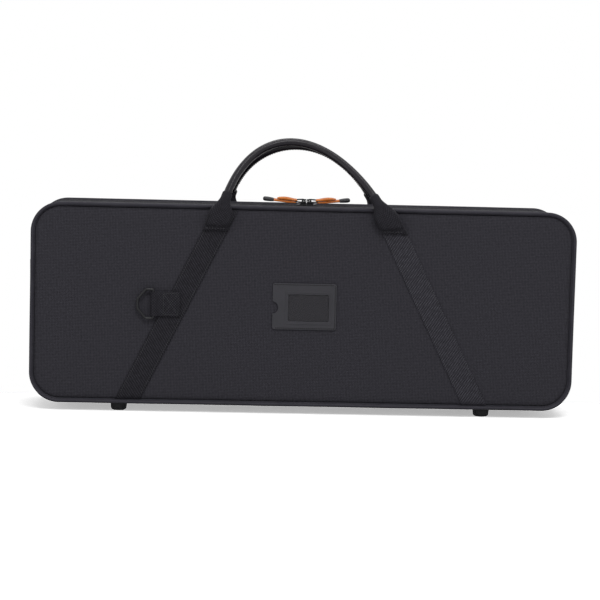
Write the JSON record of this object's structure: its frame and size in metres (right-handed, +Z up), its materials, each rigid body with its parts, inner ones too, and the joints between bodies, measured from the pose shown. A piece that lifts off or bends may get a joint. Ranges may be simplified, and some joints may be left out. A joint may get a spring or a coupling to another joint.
{
  "type": "violin case",
  "caption": "Oblong fabric-covered violin case with piped edges, slanting straps, leather handles, zip pulls, a card holder and a fitted plush inside.",
  "frame": {"origin": "on the floor, below the middle of the case", "axes": "+X along the case to the viewer's right, +Y from the front with the card holder to the back, +Z up"},
  "size_m": [0.7932, 0.1748, 0.402],
  "materials": {
    "cover_fabric": "fine plain weave, matt",
    "piping_vinyl": "soft vinyl, satin",
    "webbing": "diagonal twill webbing, matt",
    "grip_leather": "smooth leather, satin",
    "card_vinyl": "smooth vinyl, satin",
    "clear_sheet": "clear flexible sheet",
    "black_metal": "black lacquer, satin",
    "black_rubber": "moulded, matt",
    "orange_leather": "dyed leather, satin",
    "zip_nylon": "woven tape with nylon teeth",
    "plush": "short pile",
    "lining_fabric": "short pile over thin foam",
    "moulded_plastic": "fine moulded grain"
  },
  "bodies": {
    "base": {"base_shell": "cover_fabric", "base_piping": "piping_vinyl", "base_zip": "zip_nylon", "base_cushion": "plush", "lower_pad": "plush", "upper_pad": "plush", "neck_cradle": "plush", "neck_strap": "webbing", "hinge_strip": "cover_fabric", "card_frame": "card_vinyl", "card_window": "clear_sheet", "front_strap_left": "webbing", "front_strap_right": "webbing", "front_foot_left": "black_rubber", "front_foot_right": "black_rubber", "front_ring_tab": "webbing"},
    "lid": {"lid_shell": "cover_fabric", "lid_piping": "piping_vinyl", "lid_zip": "zip_nylon", "lid_lining": "lining_fabric", "back_strap_left": "webbing", "back_strap_right": "webbing", "back_foot_left": "black_rubber", "back_foot_right": "black_rubber", "back_ring_tab": "webbing", "bow_clip_upper": "moulded_plastic", "bow_clip_lower": "moulded_plastic", "bow_loop_upper": "webbing", "bow_loop_lower": "webbing"},
    "front_handle": {"front_handle_grip": "grip_leather", "front_handle_sleeve_left": "webbing", "front_handle_sleeve_right": "webbing"},
    "back_handle": {"back_handle_grip": "grip_leather", "back_handle_sleeve_left": "webbing", "back_handle_sleeve_right": "webbing"},
    "front_ring": {"front_d_ring": "black_metal"},
    "back_ring": {"back_d_ring": "black_metal"},
    "slider_left": {"zip_slider_left": "black_metal"},
    "slider_right": {"zip_slider_right": "black_metal"},
    "pull_left": {"pull_loop_left": "black_metal", "pull_tab_left": "orange_leather", "pull_cap_left": "moulded_plastic"},
    "pull_right": {"pull_loop_right": "black_metal", "pull_tab_right": "orange_leather", "pull_cap_right": "moulded_plastic"},
    "spinner_upper": {"bow_spinner_upper": "moulded_plastic"},
    "spinner_lower": {"bow_spinner_lower": "moulded_plastic"}
  },
  "joints": [
    {"name": "lid_hinge", "type": "hinge", "parent": "base", "child": "lid", "pos_m": [0, 0.018, 0.0148], "axis": [-1, 0, 0], "range_deg": [0, 100], "deforming": ["hinge_strip"]},
    {"name": "front_handle_swing", "type": "hinge", "parent": "base", "child": "front_handle", "pos_m": [0, -0.0746, 0.267], "axis": [1, 0, 0], "range_deg": [0, 150]},
    {"name": "back_handle_swing", "type": "hinge", "parent": "lid", "child": "back_handle", "pos_m": [0, 0.0746, 0.267], "axis": [-1, 0, 0], "range_deg": [0, 150]},
    {"name": "front_ring_swing", "type": "hinge", "parent": "base", "child": "front_ring", "pos_m": [-0.218, -0.0763, 0.159], "axis": [0, 0, 1], "range_deg": [0, 160]},
    {"name": "back_ring_swing", "type": "hinge", "parent": "lid", "child": "back_ring", "pos_m": [0.218, 0.0763, 0.159], "axis": [0, 0, 1], "range_deg": [0, 160]},
    {"name": "slider_left_run", "type": "slide", "parent": "base", "child": "slider_left", "axis": [-1, 0, 0], "range_m": [0, 0.32]},
    {"name": "slider_right_run", "type": "slide", "parent": "base", "child": "slider_right", "axis": [1, 0, 0], "range_m": [0, 0.32]},
    {"name": "pull_left_lift", "type": "hinge", "parent": "slider_left", "child": "pull_left", "pos_m": [0.0014, 0.018, 0.3089], "axis": [0, 1, 0], "range_deg": [0, 90]},
    {"name": "pull_right_lift", "type": "hinge", "parent": "slider_right", "child": "pull_right", "pos_m": [0.0076, 0.018, 0.3089], "axis": [0, -1, 0], "range_deg": [0, 90]},
    {"name": "spinner_upper_turn", "type": "hinge", "parent": "lid", "child": "spinner_upper", "pos_m": [-0.285, 0.0484, 0.213], "axis": [0, 1, 0], "continuous": true},
    {"name": "spinner_lower_turn", "type": "hinge", "parent": "lid", "child": "spinner_lower", "pos_m": [-0.285, 0.0484, 0.103], "axis": [0, 1, 0], "continuous": true}
  ]
}
